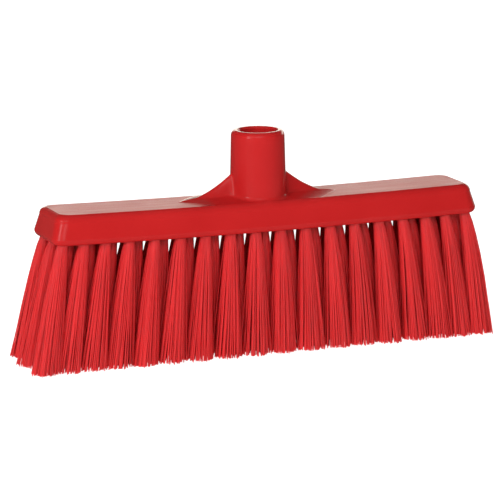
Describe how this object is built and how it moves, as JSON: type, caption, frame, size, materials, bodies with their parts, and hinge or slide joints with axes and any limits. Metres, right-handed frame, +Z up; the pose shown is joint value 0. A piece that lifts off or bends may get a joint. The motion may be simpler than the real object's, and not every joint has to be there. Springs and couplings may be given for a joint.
{
  "type": "push broom head",
  "caption": "Red upright push broom head: moulded block with a threaded handle socket on top and staggered rows of splayed stiff bristle tufts held by wire anchors.",
  "frame": {"origin": "on the floor under the middle of the head, at the trimmed ends of the tufts", "axes": "+X along the block, -Y is the front, +Z up along the handle socket"},
  "size_m": [0.333, 0.0688, 0.1507],
  "materials": {
    "block_plastic": "satin moulded polypropylene with a finely textured flat top",
    "filament": "straight extruded polyester filament, satin",
    "filament_root": "folded filament inside its hole",
    "anchor_wire": "flat stainless wire"
  },
  "bodies": {
    "head": {"block": "block_plastic", "front_tuft_roots": "filament_root", "second_tuft_roots": "filament_root", "third_tuft_roots": "filament_root", "back_tuft_roots": "filament_root", "end_tuft_roots": "filament_root", "front_anchors": "anchor_wire", "second_anchors": "anchor_wire", "third_anchors": "anchor_wire", "back_anchors": "anchor_wire", "end_anchors": "anchor_wire"},
    "front_row": {"front_tufts_left": "filament", "front_tufts_middle": "filament", "front_tufts_right": "filament"},
    "second_row": {"second_tufts_left": "filament", "second_tufts_middle": "filament", "second_tufts_right": "filament"},
    "third_row": {"third_tufts_left": "filament", "third_tufts_middle": "filament", "third_tufts_right": "filament"},
    "back_row": {"back_tufts_left": "filament", "back_tufts_middle": "filament", "back_tufts_right": "filament"},
    "end_tufts": {"end_tuft_left": "filament", "end_tuft_right": "filament"}
  },
  "joints": [
    {"name": "front_row_flex", "type": "hinge", "parent": "head", "child": "front_row", "pos_m": [0, -0.01862, 0.0797], "axis": [1, 0, 0], "range_deg": [-15, 15], "stiffness_Nm_per_rad": 0.2},
    {"name": "second_row_flex", "type": "hinge", "parent": "head", "child": "second_row", "pos_m": [0, -0.00931, 0.0797], "axis": [1, 0, 0], "range_deg": [-15, 15], "stiffness_Nm_per_rad": 0.19},
    {"name": "third_row_flex", "type": "hinge", "parent": "head", "child": "third_row", "pos_m": [0, 0.00931, 0.0797], "axis": [1, 0, 0], "range_deg": [-15, 15], "stiffness_Nm_per_rad": 0.19},
    {"name": "back_row_flex", "type": "hinge", "parent": "head", "child": "back_row", "pos_m": [0, 0.01862, 0.0797], "axis": [1, 0, 0], "range_deg": [-15, 15], "stiffness_Nm_per_rad": 0.2},
    {"name": "end_tufts_flex", "type": "hinge", "parent": "head", "child": "end_tufts", "pos_m": [0, 0, 0.0797], "axis": [1, 0, 0], "range_deg": [-15, 15], "stiffness_Nm_per_rad": 0.03}
  ],
  "couplings": [
    {"joint": "second_row_flex", "follows": "front_row_flex", "ratio": 1},
    {"joint": "third_row_flex", "follows": "front_row_flex", "ratio": 1},
    {"joint": "back_row_flex", "follows": "front_row_flex", "ratio": 1},
    {"joint": "end_tufts_flex", "follows": "front_row_flex", "ratio": 1}
  ]
}
